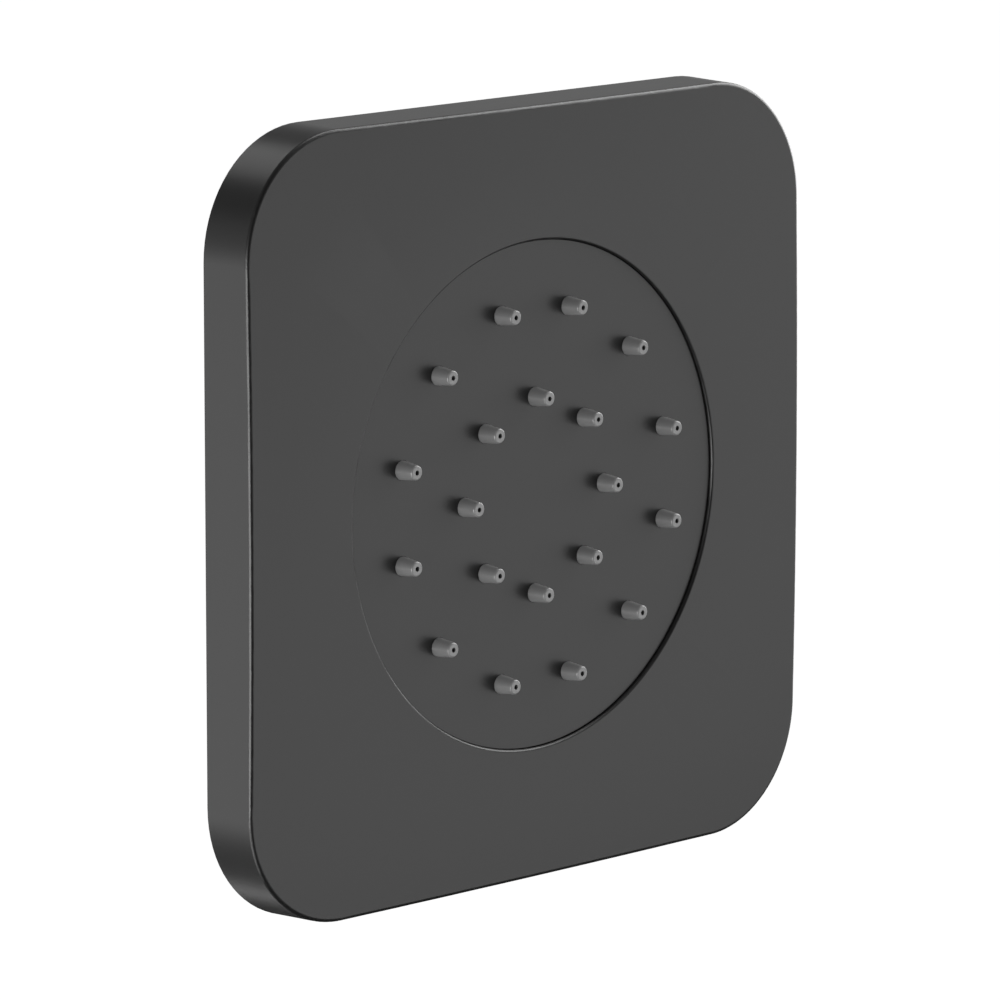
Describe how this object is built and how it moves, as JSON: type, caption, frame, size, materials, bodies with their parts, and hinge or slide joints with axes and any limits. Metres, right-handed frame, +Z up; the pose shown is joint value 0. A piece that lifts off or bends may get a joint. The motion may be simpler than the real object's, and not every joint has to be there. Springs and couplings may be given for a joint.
{
  "type": "shower body jet",
  "caption": "Square wall-mounted shower body jet: domed plate with a round spray disc of silicone nozzles that swivels on a ball joint.",
  "frame": {"origin": "on the inlet axis, in the wall plane", "axes": "+Z up, -Y out of the face, +Y into the wall along the inlet"},
  "size_m": [0.125, 0.0532, 0.125],
  "materials": {
    "matt_black": "matt black",
    "grey_silicone": "grey silicone",
    "dark_plastic": "moulded dark plastic",
    "black_rubber": "black rubber",
    "brass": "machined brass",
    "steel": "stainless steel",
    "white_liner": "low-friction plastic",
    "white_plastic": "moulded plastic"
  },
  "bodies": {
    "wall_unit": {"cover_plate": "matt_black", "mounting_base": "dark_plastic", "rim_seal": "black_rubber", "stem_seal": "black_rubber", "limiter_ring": "black_rubber", "ball_stem": "brass", "lock_nut": "brass", "base_washer": "steel", "set_screw": "steel", "flow_limiter": "white_plastic", "inlet_filter": "white_plastic"},
    "ball_cup": {"ball_cup": "white_liner"},
    "friction_ring": {"friction_ring": "white_liner"},
    "spray_head": {"nozzle_disc": "matt_black", "nozzle_mat": "grey_silicone", "jet_plate": "dark_plastic", "distributor": "dark_plastic", "retaining_ring": "steel", "ball_seal": "black_rubber", "socket_nut": "dark_plastic"}
  },
  "joints": [
    {"name": "head_tilt", "type": "hinge", "parent": "wall_unit", "child": "ball_cup", "pos_m": [0, 0.005, 0], "axis": [1, 0, 0], "range_deg": [-3.5, 3.5]},
    {"name": "head_swing", "type": "hinge", "parent": "ball_cup", "child": "friction_ring", "pos_m": [0, 0.005, 0], "axis": [0, 0, 1], "range_deg": [-3.5, 3.5]},
    {"name": "head_turn", "type": "hinge", "parent": "friction_ring", "child": "spray_head", "pos_m": [0, 0.005, 0], "axis": [0, 1, 0], "continuous": true}
  ]
}
